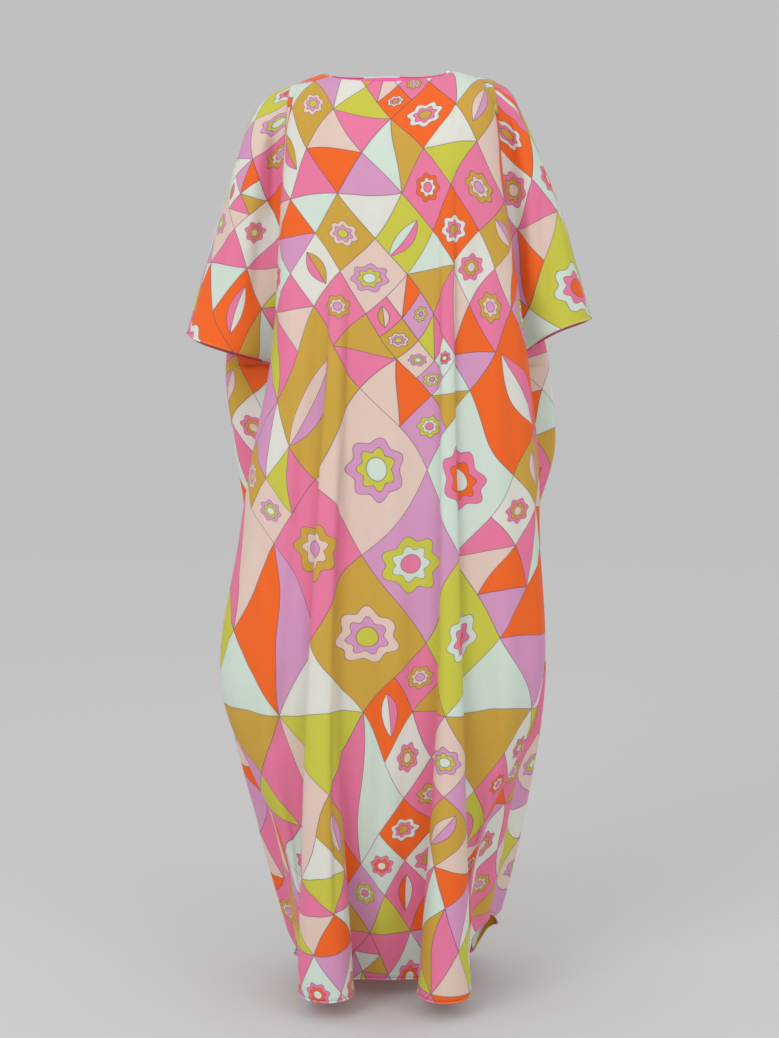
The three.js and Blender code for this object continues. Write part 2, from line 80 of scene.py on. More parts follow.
# Hanging folds: the share of the panel from and to, the height where each starts and how soon
# it is full, and at four heights its middle, half width, overhang of its sides and rise
FOLD_HEIGHTS = (CHEST, -440, -980, HEM)
FOLD_NAMES = ("from", "to", "start", "over", "x", "half", "lip_right", "lip_left", "rise")
UPRIGHT = (0, 0, 0, 0)
FOLD_ROWS = {
    "front": {
        "right side": (0.1, 0.23, -300, 260, (-132, -132, -192, -136), (24, 20, 34, 3),
                       UPRIGHT, UPRIGHT, (4, 5, 10, 1)),
        "right lobe": (0.24, 0.44, -190, 330, (-72, -80, -98, -100), (28, 17, 27, 30),
                       (3, 9, 18, 34), (0, 2, 4, 29), (10, 15, 32, 118)),
        "middle": (0.46, 0.58, -300, 260, (8, 5, 0, -5), (28, 34, 36, 34),
                   UPRIGHT, UPRIGHT, (3, 5, 8, 4)),
        "left ridge": (0.59, 0.79, -80, 320, (87, 87, 93, 88), (15, 10, 17, 27),
                       (1, 3, 10, 31), (9, 8, 14, 30), (12, 13, 34, 122)),
        "left side": (0.8, 0.9, -270, 260, (148, 160, 186, 124), (20, 24, 34, 3),
                      UPRIGHT, UPRIGHT, (5, 7, 11, 1)),
    },
    "back": {
        "right side": (0.1, 0.22, -270, 260, (-140, -190, -200, -136), (24, 30, 32, 10),
                       UPRIGHT, UPRIGHT, (5, 8, 10, 6)),
        "right lobe": (0.23, 0.41, -150, 340, (-84, -96, -112, -90), (26, 17, 24, 28),
                       (0, 3, 9, 24), (3, 8, 16, 24), (9, 13, 28, 88)),
        "middle lobe": (0.43, 0.59, -280, 300, (6, 4, 8, 12), (28, 22, 28, 29),
                        (0, 2, 9, 18), (0, 1, 5, 18), (6, 8, 20, 66)),
        "left lobe": (0.61, 0.79, -190, 320, (94, 104, 120, 106), (26, 16, 24, 28),
                      (3, 7, 15, 26), (2, 4, 10, 26), (9, 12, 30, 94)),
        "left side": (0.8, 0.9, -270, 260, (152, 186, 200, 148), (20, 30, 32, 9),
                      UPRIGHT, UPRIGHT, (5, 8, 10, 5)),
    },
}
FOLDS = {face: [dict(zip(FOLD_NAMES, row)) for row in rows.values()] for face, rows in FOLD_ROWS.items()}
FOLD_ROOM = 0.35
LIP_PEAK = 3.494
ROUNDNESS = 2.5

# Sleeves
CUFF_TIP = {"right": {"x": -323, "z": -412}, "left": {"x": 322, "z": -388}}
OVERARM_DROP = (0, 0.04, 0.12, 0.22, 0.44, 0.625, 1)
OVERARM_REACH = {"right": (0, 0.2, 0.36, 0.46, 0.615, 0.75, 1), "left": (0, 0.16, 0.27, 0.38, 0.59, 0.745, 1)}
SLEEVE_STANDS = {"front": {"top": 66, "cuff": 60}, "back": {"top": 52, "cuff": 36}}
FURROW = {"across": 14, "back": 15, "stands": 0.15}
OVERARM_SHIFT = 0.05
CUFF_DROP = {"front": 0, "back": 11}
CUFF_SWEEP = {"right": 1.2, "left": 2.3}
SLEEVE_OPEN_BY = 0.55
SLEEVE_STATIONS = (0, 0.2, 0.5, 0.85, 1)

# Meshing: shares of a panel and how many columns lie between them, and rows in each stretch
SIDE_SHARE = 4 / 50
SHOULDER_SHARE = 9 / 50
ROWS = {"top": 8, "armhole": 6, "below": 22}
FINE_ROWS = {"top": 40, "armhole": 36, "below": 132}
FINE_COLUMNS = (
    (0, SIDE_SHARE, 16), (SIDE_SHARE, SHOULDER_SHARE, 16), (SHOULDER_SHARE, 1 - SHOULDER_SHARE, 116),
    (1 - SHOULDER_SHARE, 1 - SIDE_SHARE, 16), (1 - SIDE_SHARE, 1, 16),
)
SLEEVE_COLUMNS = 44
OUTWARD = {"front": -1, "back": 1}

# Smoothing, in columns from a panel's side and in passes
CHEST_EASE = {"rows": 11, "columns": 8, "passes": 24}
FOLD_EASE = {"columns": 14, "passes": 4}
CREASE_EASE = {"columns": 6, "start": 0.3, "end": 0.25}
LEAST_SLANT = 0.35
SEAM_EDGE = 0.003

# Soft creases on the hanging cloth, seen from its own side: where each starts and ends
# across and in height, its width and its depth (a ridge is below zero)
CREASES = {
    "front": [
        (-66, -540, -84, -1000, 8, 5.5), (-84, -930, -80, -1370, 8, 8.5), (-108, -350, -116, -560, 12, 4),
        (-136, -520, -142, -730, 11, 3.5), (-150, -330, -158, -520, 10, -3), (-172, -620, -180, -860, 12, 3),
        (-205, -700, -168, -930, 9, 2.5), (-205, -860, -238, -1000, 10, -2.5),
        (-150, -880, -182, -1090, 13, 3.5),
        (14, -760, 18, -980, 12, -3), (38, -700, 44, -1060, 10, 2.5), (-28, -820, -36, -1180, 11, 2.5),
        (116, -190, 122, -400, 9, -3), (134, -230, 146, -470, 12, 3.5), (150, -520, 158, -760, 13, -2.5),
        (178, -760, 214, -940, 11, 3), (150, -880, 166, -1120, 12, 3), (24, -1080, 26, -1400, 12, 3),
        (-16, -1130, -14, -1430, 12, -3.5), (-30, -130, -44, -330, 14, 2), (60, -120, 66, -300, 12, 2.5),
        (-70, -110, -78, -280, 12, 2.5), (88, -1180, 86, -1440, 8, 4), (-112, -1180, -122, -1430, 8, 4),
    ],
    "back": [
        (-60, -420, -72, -900, 10, 4.5), (-148, -380, -160, -720, 12, 4), (-196, -620, -212, -960, 13, 4),
        (-40, -160, -52, -420, 14, 3), (48, -200, 58, -520, 12, 3.5), (62, -640, 64, -1180, 10, 4),
        (150, -330, 166, -640, 12, 4), (214, -700, 190, -1020, 12, -3.5), (-24, -900, -30, -1380, 11, 3),
        (100, -150, 108, -350, 12, -3), (-120, -1080, -110, -1420, 9, 4), (132, -1120, 124, -1420, 9, 3.5),
        (0, -120, 2, -300, 15, 2.5), (-226, -420, -214, -640, 12, 3), (226, -430, 214, -690, 12, 3),
    ],
    "sleeve_right_front": [
        (-178, -80, -180, -240, 8, 4), (-196, -200, -214, -390, 11, 5), (-226, -130, -262, -350, 13, -4),
        (-250, -230, -292, -400, 12, 3.5), (-182, -260, -186, -420, 10, -3),
    ],
    "sleeve_right_back": [
        (-184, -90, -190, -260, 10, 4), (-214, -210, -236, -410, 12, 5), (-246, -180, -280, -390, 13, -4),
        (-190, -280, -196, -430, 10, -3),
    ],
    "sleeve_left_front": [
        (203, -44, 209, -170, 8, 4), (236, -168, 247, -370, 10, 5), (216, -190, 224, -360, 9, -3.5),
        (262, -220, 290, -370, 11, -3.5), (190, -250, 196, -400, 10, 4),
    ],
    "sleeve_left_back": [
        (192, -80, 200, -240, 10, 4), (222, -200, 240, -390, 12, 5), (250, -170, 284, -370, 13, -4),
        (200, -270, 206, -420, 10, -3),
    ],
}


def mix(a, b, t):
    return a + (b - a) * t


def smooth(t):
    t = np.clip(t, 0, 1)
    return t * t * (3 - 2 * t)


def curve_through(heights, values, z):
    """A smooth curve through values at heights, read at z."""
    at, value = np.asarray(heights, float), np.asarray(values, float)
    last = len(at) - 1
    down = np.sign(at[-1] - at[0])
    z = np.asarray(z, float)
    i = np.clip(np.searchsorted(at * down, z * down, side="left") - 1, 0, last - 1)
    before, after = np.maximum(np.arange(last + 1) - 1, 0), np.minimum(np.arange(last + 1) + 1, last)
    slope = (value[after] - value[before]) / (at[after] - at[before])
    span = at[i + 1] - at[i]
    t = np.clip((z - at[i]) / span, 0, 1)
    bend = slope[i] * t * (1 - t) ** 2 - slope[i + 1] * t * t * (1 - t)
    return mix(value[i], value[i + 1], t * t * (3 - 2 * t)) + bend * span


def outline(name, z):
    return curve_through([row["z"] for row in OUTLINE], [row[name] for row in OUTLINE], z)


def turned_side(face, side, t, z):
    """A panel's turned side, from its side line (t = 0) to its widest point (t = 1)."""
    drop = np.clip((CHEST - z) / (CHEST - UNDERARM), 0, 1)
    seam_x = outline(f"seam{side}", z)
    seam_y = OUTWARD[face] * np.where(z > UNDERARM, ARMHOLE[face] * np.sqrt(1 - drop * drop), 0)
    wide_x = outline(f"{face}{side}", z)
    wide_y = OUTWARD[face] * outline(f"{face}Turn", z)
    knots = [(seam_x, seam_y), (mix(seam_x, wide_x, 0.05), mix(seam_y, wide_y, 0.75)),
             (wide_x, mix(wide_y, seam_y, 0.5)), (wide_x, wide_y)]
    weights = [(1 - t) ** 3, 3 * t * (1 - t) ** 2, 3 * t * t * (1 - t), t ** 3]
    return sum(w * x for w, (x, y) in zip(weights, knots)), sum(w * y for w, (x, y) in zip(weights, knots))


def across_face(face, u, z):
    """Where share u lies across a panel's face, in step with the edges of its folds."""
    right, left = outline(f"{face}Right", z), outline(f"{face}Left", z)
    room = (left - right) * FOLD_ROOM
    edges = [(SIDE_SHARE, right)]
    for fold in FOLDS[face]:
        middle = curve_through(FOLD_HEIGHTS, fold["x"], z)
        half = curve_through(FOLD_HEIGHTS, fold["half"], z)
        for share, edge in ((fold["from"], middle - half), (fold["to"], middle + half)):
            least, most = right + room * (share - SIDE_SHARE), left - room * (1 - SIDE_SHARE - share)
            edges.append((share, np.minimum(np.maximum(edge, least), most)))
    edges.append((1 - SIDE_SHARE, left))
    x = np.zeros(np.broadcast(u, z).shape)
    for (u0, x0), (u1, x1) in zip(edges, edges[1:]):
        x = np.where((u >= u0) & (u <= u1), mix(x0, x1, np.clip((u - u0) / (u1 - u0), 0, 1)), x)
    return x


def level_section(face, u, z):
    """A panel's section at heights z on or below the chest, for every share u."""
    x = across_face(face, u, z)
    start, end = outline(f"{face}Right", z), outline(f"{face}Left", z)
    across = np.clip(np.abs((2 * x - start - end) / (end - start)), 0, 1)
    bulge = (1 - across ** ROUNDNESS) ** (1 / ROUNDNESS)
    y = mix(outline(f"{face}Turn", z), outline(f"{face}Reach", z), bulge)
    for fold in FOLDS[face]:
        q = np.clip((2 * u - fold["from"] - fold["to"]) / (fold["to"] - fold["from"]), -1, 1)
        grown = smooth((fold["start"] - z) / fold["over"])
        lip_right, lip_left = (curve_through(FOLD_HEIGHTS, fold[lip], z) for lip in ("lip_right", "lip_left"))
        lip = np.where(q < 0, lip_right, lip_left)
        bell = (1 - q * q) ** 2
        x = x + grown * lip * LIP_PEAK * q * bell
        y = y + grown * curve_through(FOLD_HEIGHTS, fold["rise"], z) * bell
    y = OUTWARD[face] * y
    sides = (("Right", u / SIDE_SHARE, u < SIDE_SHARE), ("Left", (1 - u) / SIDE_SHARE, u > 1 - SIDE_SHARE))
    for side, t, there in sides:
        side_x, side_y = turned_side(face, side, np.clip(t, 0, 1), z)
        x, y = np.where(there, side_x, x), np.where(there, side_y, y)
    return x, y


def top_edge(face, u):
    """The top of a panel: shoulder seam, neckline and shoulder seam."""
    right, left = np.clip(u / SHOULDER_SHARE, 0, 1), np.clip((1 - u) / SHOULDER_SHARE, 0, 1)
    t = np.clip((u - SHOULDER_SHARE) / (1 - 2 * SHOULDER_SHARE), 0, 1)
    angle = np.pi * t
    scoop = np.clip(np.sin(angle), 0, 1)
    middle, half = (NECK["left"] + NECK["right"]) / 2, (NECK["left"] - NECK["right"]) / 2
    x = middle - half * np.cos(angle)
    y = OUTWARD[face] * NECK[f"{face}Reach"] * scoop ** YOKE["neck_curve"]
    z = mix(NECK_POINT["right"], NECK_POINT["left"], t) - NECK[f"{face}Drop"] * scoop
    on_right, on_left = u <= SHOULDER_SHARE, u >= 1 - SHOULDER_SHARE
    x = np.where(on_right, mix(SHOULDER["right"]["x"], NECK["right"], right), x)
    z = np.where(on_right, mix(SHOULDER["right"]["z"], NECK_POINT["right"], right), z)
    x = np.where(on_left, mix(SHOULDER["left"]["x"], NECK["left"], left), x)
    z = np.where(on_left, mix(SHOULDER["left"]["z"], NECK_POINT["left"], left), z)
    y = np.where(on_right | on_left, 0, y)
    return x, y, z


def fine_rows():
    """Row numbers from the top edge to the hem, finely divided."""
    top = np.linspace(0, ROWS["top"], FINE_ROWS["top"] + 1)
    armhole = np.linspace(ROWS["top"], ROWS["top"] + ROWS["armhole"], FINE_ROWS["armhole"] + 1)[1:]
    below = np.linspace(ROWS["top"] + ROWS["armhole"], sum(ROWS.values()), FINE_ROWS["below"] + 1)[1:]
    return np.concatenate([top, armhole, below])


def fine_columns():
    """Shares across a panel, with more columns where it turns round a side."""
    shares = [np.array([0.0])]
    for start, end, count in FINE_COLUMNS:
        shares.append(np.linspace(start, end, count + 1)[1:])
    return np.concatenate(shares)


def panel_surface(face, u, rows):
    """The middle surface of a panel as an array of points, one line for each row."""
    u, row = np.asarray(u)[None, :], np.asarray(rows)[:, None]
    shape = np.broadcast(u, row).shape
    f = np.clip(row / ROWS["top"], 0, 1) ** YOKE["spacing"]
    top_x, top_y, top_z = top_edge(face, u)
    chest_x, chest_y = level_section(face, u, np.full((1, 1), float(CHEST)))
    round_over = np.sqrt(1 - (1 - np.minimum(f / SHOULDER_ROUND, 1)) ** 2)
    slope = 1 - (1 - f) ** 2
    neck = np.where((u > SHOULDER_SHARE) & (u < 1 - SHOULDER_SHARE),
                    np.sin(np.pi * (u - SHOULDER_SHARE) / (1 - 2 * SHOULDER_SHARE)), 0)
    turned = mix(round_over, slope, neck)
    inner = np.clip(np.minimum(u, 1 - u) / SHOULDER_SHARE, 0, 1)
    spread = mix(f ** YOKE["side_spread"], turned, inner)
    upper = (mix(top_x, chest_x, spread), mix(top_y, chest_y, turned), mix(top_z, CHEST, f))
    armhole = np.sin(np.pi / 2 * np.clip((row - ROWS["top"]) / ROWS["armhole"], 0, 1))
    below = np.clip((row - ROWS["top"] - ROWS["armhole"]) / ROWS["below"], 0, 1)
    level = mix(mix(CHEST, UNDERARM, armhole), HEM, below)
    right_lift = HEM_LIFT["right"] * smooth(1 - u / HEM_LIFT_SHARE["right"])
    left_lift = HEM_LIFT["left"] * smooth(1 - (1 - u) / HEM_LIFT_SHARE["left"])
    height = level + mix(right_lift, left_lift, u) * below ** HEM_LIFT_CURVE
    lower = (*level_section(face, u, height), height)
    in_top = np.broadcast_to(row < ROWS["top"], shape)
    return np.stack([np.where(in_top, a, b) for a, b in zip(upper, lower)], axis=-1)


def columns_from_side(grid):
    """How many columns each column of a panel lies from its nearer side."""
    count = np.arange(grid.shape[1])
    return np.minimum(count, count[::-1])


def ease_chest_line(grid):
    """Takes the slight bend out of the cloth where the yoke meets the hanging part."""
    here, reach = FINE_ROWS["top"], CHEST_EASE["rows"]
    share = np.clip(columns_from_side(grid) / CHEST_EASE["columns"], 0, 1)[None, :, None]
    for _ in range(CHEST_EASE["passes"]):
        part = grid[here - reach:here + reach + 1]
        eased = (part[:-2] + 2 * part[1:-1] + part[2:]) / 4
        grid[here - reach + 1:here + reach] = mix(part[1:-1], eased, share)
    return grid


def surface_normals(grid, flip):
    across = np.empty_like(grid)
    across[:, 1:-1] = grid[:, 2:] - grid[:, :-2]
    across[:, 0], across[:, -1] = grid[:, 1] - grid[:, 0], grid[:, -1] - grid[:, -2]
    down = np.empty_like(grid)
    down[1:-1] = grid[2:] - grid[:-2]
    down[0], down[-1] = grid[1] - grid[0], grid[-1] - grid[-2]
    normal = np.cross(across, down) * flip
    size = np.linalg.norm(normal, axis=-1, keepdims=True)
    return normal / np.maximum(size, 1e-9)


def soften_folds(grid):
    """Rounds the foot of every fold, where the cloth turns out of a panel's face."""
    inward = columns_from_side(grid) - FINE_COLUMNS[0][2]
    share = smooth(inward / FOLD_EASE["columns"])[None, :, None]
    for _ in range(FOLD_EASE["passes"]):
        eased = grid.copy()
        eased[1:, 1:-1] = (grid[1:, :-2] + 2 * grid[1:, 1:-1] + grid[1:, 2:]) / 4
        grid = mix(grid, eased, share)
    return grid


def press_creases(grid, normals, creases):
    """Presses each crease into the cloth as a soft trough, or raises it as a ridge."""
    depth = np.zeros(grid.shape[:2])
    for x0, z0, x1, z1, width, deep in creases:
        start, line = np.array([x0, z0], float), np.array([x1 - x0, z1 - z0], float)
        away = grid[..., [0, 2]] - start
        t = np.clip(away @ line / (line @ line), 0, 1)
        distance = np.linalg.norm(away - t[..., None] * line, axis=-1)
        taper = smooth(t / CREASE_EASE["start"]) * smooth((1 - t) / CREASE_EASE["end"])
        depth += deep * taper * np.exp(-(distance / width) ** 2)
    depth = depth * smooth(columns_from_side(grid) / CREASE_EASE["columns"])
    return grid - normals * depth[..., None]


def sleeve_surface(face, side, armhole, w):
    """The middle surface of a sleeve half, from the overarm line (w = 0) to the armhole edge (w = 1)."""
    start, tip, out = SHOULDER[side], CUFF_TIP[side], OUTWARD[face]
    ax, ay, az = (armhole[:, k][:, None] for k in range(3))
    w = np.asarray(w)[None, :]
    drop = (az - start["z"]) / (UNDERARM - start["z"])
    outer_x = mix(start["x"], tip["x"], curve_through(OVERARM_DROP, OVERARM_REACH[side], drop))
    outer_z = mix(start["z"], tip["z"], drop)
    opened = smooth(np.sqrt(np.clip(drop, 0, 1)) / SLEEVE_OPEN_BY)
    stands = mix(SLEEVE_STANDS[face]["top"], SLEEVE_STANDS[face]["cuff"], drop)
    reach = out * np.maximum(stands * opened, np.abs(ay) * 0.8 * (1 - opened))
    furrow = mix(ay, reach, FURROW["stands"]) - out * FURROW["back"] * opened * np.sin(np.pi * drop)
    xs = (outer_x, mix(outer_x, ax, 0.1), mix(outer_x, ax, 0.45),
          mix(outer_x, ax, 0.96) + np.sign(outer_x) * FURROW["across"] * opened, ax)
    ys = (0 * ax, reach * 0.66, reach, furrow, ay)
    shape = np.broadcast(drop, w).shape
    x, y = np.zeros(shape), np.zeros(shape)
    for k, unit in enumerate(np.eye(len(SLEEVE_STATIONS))):
        weight = curve_through(SLEEVE_STATIONS, unit, w)
        x, y = x + weight * xs[k], y + weight * ys[k]
    z = mix(outer_z, az, w ** CUFF_SWEEP[side]) - CUFF_DROP[face] * drop ** 4 * np.sin(np.pi * w)
    return np.stack([x, y, z], axis=-1)


def cut_coordinates(grid, centre, level_row):
    """Flat-cut coordinates in metres: across from the centre column, and down from the level row."""
    down = np.linalg.norm(np.diff(grid, axis=0), axis=-1)
    v = np.vstack([np.zeros(grid.shape[1]), np.cumsum(down, axis=0)])
    v = v - v[level_row]
    step = np.linalg.norm(np.diff(grid, axis=1), axis=-1)
    shear = np.diff(v, axis=1)
    across = np.sqrt(np.maximum(step ** 2 - shear ** 2, (LEAST_SLANT * step) ** 2))
    u = np.hstack([np.zeros((grid.shape[0], 1)), np.cumsum(across, axis=1)])
    u = u - u[:, centre:centre + 1]
    return np.stack([u, v], axis=-1) * MM


def lengths_along(line):
    """The length in metres from a line's first point to each of its points."""
    return np.concatenate([[0], np.cumsum(np.linalg.norm(np.diff(line, axis=0), axis=1))]) * MM


def seam_gaps(grid):
    """How far in metres each point lies from its nearer side seam."""
    run = np.cumsum(np.linalg.norm(np.diff(grid, axis=1, prepend=grid[:, :1]), axis=-1), axis=1) * MM
    return np.minimum(run, run[:, -1:] - run) + SEAM_EDGE


def mesh_object(name, points, faces, cut, sewn):
    """A mesh object at the origin, from points in millimetres, with its cut and sewing coordinates."""
    mesh = bpy.data.meshes.new(name)
    mesh.from_pydata((np.asarray(points) * MM).tolist(), [], [list(map(int, face)) for face in faces])
    corners = np.empty(len(mesh.loops), int)
    mesh.loops.foreach_get("vertex_index", corners)
    for layer_name, values in (("cut", cut), ("sewn", sewn)):
        layer = mesh.uv_layers.new(name=layer_name)
        layer.uv.foreach_set("vector", np.asarray(values, float)[corners].ravel())
    mesh.polygons.foreach_set("use_smooth", [True] * len(mesh.polygons))
    mesh.update()
    obj = bpy.data.objects.new(name, mesh)
    bpy.context.collection.objects.link(obj)
    return obj


def cloth_piece(name, grid, flip, cut, sewn, pointed=False):
    """One cut piece as a thin closed wall on its grid, outer and inner side with their own materials."""
    rows, columns = grid.shape[:2]
    j, i = np.meshgrid(np.arange(rows - 1), np.arange(columns - 1), indexing="ij")
    a = (j * columns + i).ravel()
    quads = np.stack([a, a + 1, a + columns + 1, a + columns], axis=1)
    if flip < 0:
        quads = quads[:, ::-1]
    if pointed:
        quads = [list(dict.fromkeys(quad)) for quad in np.where(quads < columns, 0, quads).tolist()]
    points = grid.reshape(-1, 3)
    obj = mesh_object(name, points, quads, cut.reshape(-1, 2), sewn.reshape(-1, 2))
    if pointed:
        edit_whole(obj, bpy.ops.mesh.delete_loose, use_verts=True, use_edges=True, use_faces=False)
    wall = obj.modifiers.new("wall", "SOLIDIFY")
    wall.thickness = CLOTH * MM
    wall.offset = 0
    wall.material_offset = 1
    wall.material_offset_rim = 0
    bpy.context.view_layer.objects.active = obj
    bpy.ops.object.modifier_apply(modifier=wall.name)
    return obj


def edit_whole(obj, step, **settings):
    """Runs one edit step on everything in a mesh."""
    bpy.context.view_layer.objects.active = obj
    obj.select_set(True)
    bpy.ops.object.mode_set(mode="EDIT")
    bpy.ops.mesh.select_all(action="SELECT")
    step(**settings)
    bpy.ops.object.mode_set(mode="OBJECT")
    obj.select_set(False)


def ring_faces(count, sides, closed):
    """The faces of a tube of rings, joined into a loop or left open."""
    faces = []
    for k in range(count if closed else count - 1):
        n = (k + 1) % count
        for s in range(sides):
            t = (s + 1) % sides
            faces.append((k * sides + s, k * sides + t, n * sides + t, n * sides + s))
    return faces


def tube(name, rings, closed, cut, sewn):
    """A smooth tube through rings of points, with a face on each open end."""
    count, sides = rings.shape[:2]
    faces = ring_faces(count, sides, closed)
    if not closed:
        faces.append(tuple(range(sides)))
        faces.append(tuple(range((count - 1) * sides, count * sides))[::-1])
    obj = mesh_object(name, rings.reshape(-1, 3), faces, cut, sewn)
    edit_whole(obj, bpy.ops.mesh.normals_make_consistent, inside=False)
    return obj


def rolled_edge(name, line, normals, cut):
    """A narrow rolled hem along an edge of the cloth."""
    sides = HEM_ROLL_SIDES
    along = np.gradient(line, axis=0)
    along = along / np.linalg.norm(along, axis=1, keepdims=True)
    out = normals - along * np.sum(normals * along, axis=1, keepdims=True)
    out = out / np.linalg.norm(out, axis=1, keepdims=True)
    side = np.cross(along, out)
    angle = np.linspace(0, 2 * np.pi, sides, endpoint=False)[None, :, None]
    roll = out[:, None] * np.cos(angle) + side[:, None] * np.sin(angle) * HEM_ROLL_FLAT
    rings = line[:, None] + HEM_ROLL * roll
    length = np.repeat(lengths_along(line), sides)
    return tube(name, rings, False, np.repeat(cut, sides, axis=0), np.stack([length, 0 * length], axis=1))


# ---------------------------------------------------------------- shader building

def new_node(tree, kind, **settings):
    node = tree.nodes.new(kind)
    for name, value in settings.items():
        setattr(node, name, value)
    return node


def feed(tree, socket, value):
    if isinstance(value, bpy.types.NodeSocket):
        tree.links.new(value, socket)
    elif value is not None:
        socket.default_value = value


class Chart:
    """Builds the number nodes of one node tree."""

    def __init__(self, tree):
        self.tree = tree

    def number(self, operation, *values):
        node = new_node(self.tree, "ShaderNodeMath", operation=operation)
        for socket, value in zip(node.inputs, values):
            feed(self.tree, socket, value)
        return node.outputs[0]

    def add(self, a, b):
        return self.number("ADD", a, b)

    def less(self, a, b):
        return self.number("SUBTRACT", a, b)

    def times(self, a, b):
        return self.number("MULTIPLY", a, b)

    def over(self, a, b):
        return self.number("DIVIDE", a, b)

    def floor(self, a):
        return self.number("FLOOR", a)

    def part(self, a):
        return self.number("FRACT", a)

    def above(self, a, b):
        return self.number("GREATER_THAN", a, b)

    def below(self, a, b):
        return self.number("LESS_THAN", a, b)

    def least(self, a, b):
        return self.number("MINIMUM", a, b)

    def most(self, a, b):
        return self.number("MAXIMUM", a, b)

    def size(self, a):
        return self.number("ABSOLUTE", a)

    def choose(self, mask, a, b):
        """a where mask is 0, and b where it is 1."""
        return self.add(a, self.times(mask, self.less(b, a)))

    def within(self, value, edge, blur):
        """1 where value is under edge, 0 over it, with a soft step."""
        node = new_node(self.tree, "ShaderNodeMapRange", interpolation_type="SMOOTHSTEP")
        for name, given in (("Value", value), ("From Min", edge + blur), ("From Max", edge - blur)):
            feed(self.tree, node.inputs[name], given)
        return node.outputs["Result"]

    def chance(self, a, b, seed):
        """An even random number from 0 to 1 for each pair of whole numbers."""
        place = new_node(self.tree, "ShaderNodeCombineXYZ")
        feed(self.tree, place.inputs[0], a)
        feed(self.tree, place.inputs[1], b)
        feed(self.tree, place.inputs[2], seed)
        noise = new_node(self.tree, "ShaderNodeTexWhiteNoise", noise_dimensions="3D")
        self.tree.links.new(place.outputs[0], noise.inputs["Vector"])
        return noise.outputs["Value"]

    def blend(self, mask, a, b, blend_type="MIX"):
        node = new_node(self.tree, "ShaderNodeMix", data_type="RGBA", blend_type=blend_type)
        feed(self.tree, node.inputs[0], mask)
        feed(self.tree, node.inputs[6], a)
        feed(self.tree, node.inputs[7], b)
        return node.outputs[2]


def linear(red, green, blue):
    """An RGBA colour from the everyday 0 to 255 scale."""
    def one(value):
        value /= 255
        return value / 12.92 if value <= 0.04045 else ((value + 0.055) / 1.055) ** 2.4
    return (one(red), one(green), one(blue), 1.0)


def new_group(name, outputs):
    """A shader group that takes a place on the cloth, with its number maker and both its ends."""
    group = bpy.data.node_groups.new(name, "ShaderNodeTree")
    group.interface.new_socket(name="Place", in_out="INPUT", socket_type="NodeSocketVector")
    for output, kind in outputs.items():
        group.interface.new_socket(name=output, in_out="OUTPUT", socket_type=f"NodeSocket{kind}")
    given, put = new_node(group, "NodeGroupInput"), new_node(group, "NodeGroupOutput")
    return group, Chart(group), given.outputs["Place"], put


def vector_math(tree, operation, *values):
    node = new_node(tree, "ShaderNodeVectorMath", operation=operation)
    for socket, value in zip(node.inputs, values):
        feed(tree, socket, value)
    return node.outputs[0]


def flat_noise(tree, place, scale, detail):
    node = new_node(tree, "ShaderNodeTexNoise", noise_dimensions="2D")
    for name, value in (("Vector", place), ("Scale", scale), ("Detail", detail)):
        feed(tree, node.inputs[name], value)
    return node


def axes_of(tree, place):
    node = new_node(tree, "ShaderNodeSeparateXYZ")
    tree.links.new(place, node.inputs[0])
    return node.outputs[0], node.outputs[1]


# The print, in metres on the flat cloth. In this order no dye lies beside itself: places 1, 2, 4
# and 8 further on always differ
DYES = [
    ("pink", (245, 138, 180)), ("lime", (219, 219, 78)), ("cream", (240, 220, 208)),
    ("pink", (245, 138, 180)), ("orange", (252, 116, 26)), ("mint", (226, 241, 231)),
    ("lilac", (229, 170, 212)), ("mustard", (221, 183, 70)), ("off-white", (238, 240, 232)),
]
PEN = {"dye": (120, 84, 110), "strength": 0.78, "half": 0.00055, "blur": 0.00035}
CELL = {"width": 0.17, "height": 0.25}
WARP = {"scale": 5.5, "push": 0.055}
# Where cells are quartered: above and below which heights, how often there and elsewhere, and
# whether only cells that are already quartered take part
QUARTERS = [
    {"seed": 3.0, "above": 0.40, "below": 1.24, "often": 0.95, "elsewhere": 0.26, "again": False},
    {"seed": 7.0, "above": 0.10, "below": 1.5, "often": 0.2, "elsewhere": 0.03, "again": True},
]
# Shares of the cells: daisies up to the first, leaves up to the next, then halved level, then upright
KINDS = {"daisy": 0.35, "leaf": 0.47, "level": 0.74}
DAISY = {"radius": 0.044, "more": 0.012, "aside": 0.016, "up": -0.02, "turn": 2.0}
DAISY_RINGS = [
    {"petals": 7.0, "reach": 1.0, "scallop": 0.2, "dye": 4.0},
    {"petals": 7.0, "reach": 0.66, "scallop": 0.24, "dye": 8.0},
    {"petals": 6.0, "reach": 0.34, "scallop": 0.0, "dye": 3.0},
]
LEAF = {"long": 0.066, "wide": 0.026, "lean": 1.6, "dyes": (4.0, 8.0)}


def stepped_dyes(tree, place, steps):
    """The dye at a place from 0 to 1, where each dye in turn starts."""
    ramp = new_node(tree, "ShaderNodeValToRGB")
    ramp.color_ramp.interpolation = "CONSTANT"
    elements = ramp.color_ramp.elements
    for k, (start, shade) in enumerate(steps):
        element = elements[k] if k < 2 else elements.new(start)
        element.position = start
        element.color = linear(*shade)
    feed(tree, ramp.inputs["Fac"], place)
    return ramp.outputs["Color"]


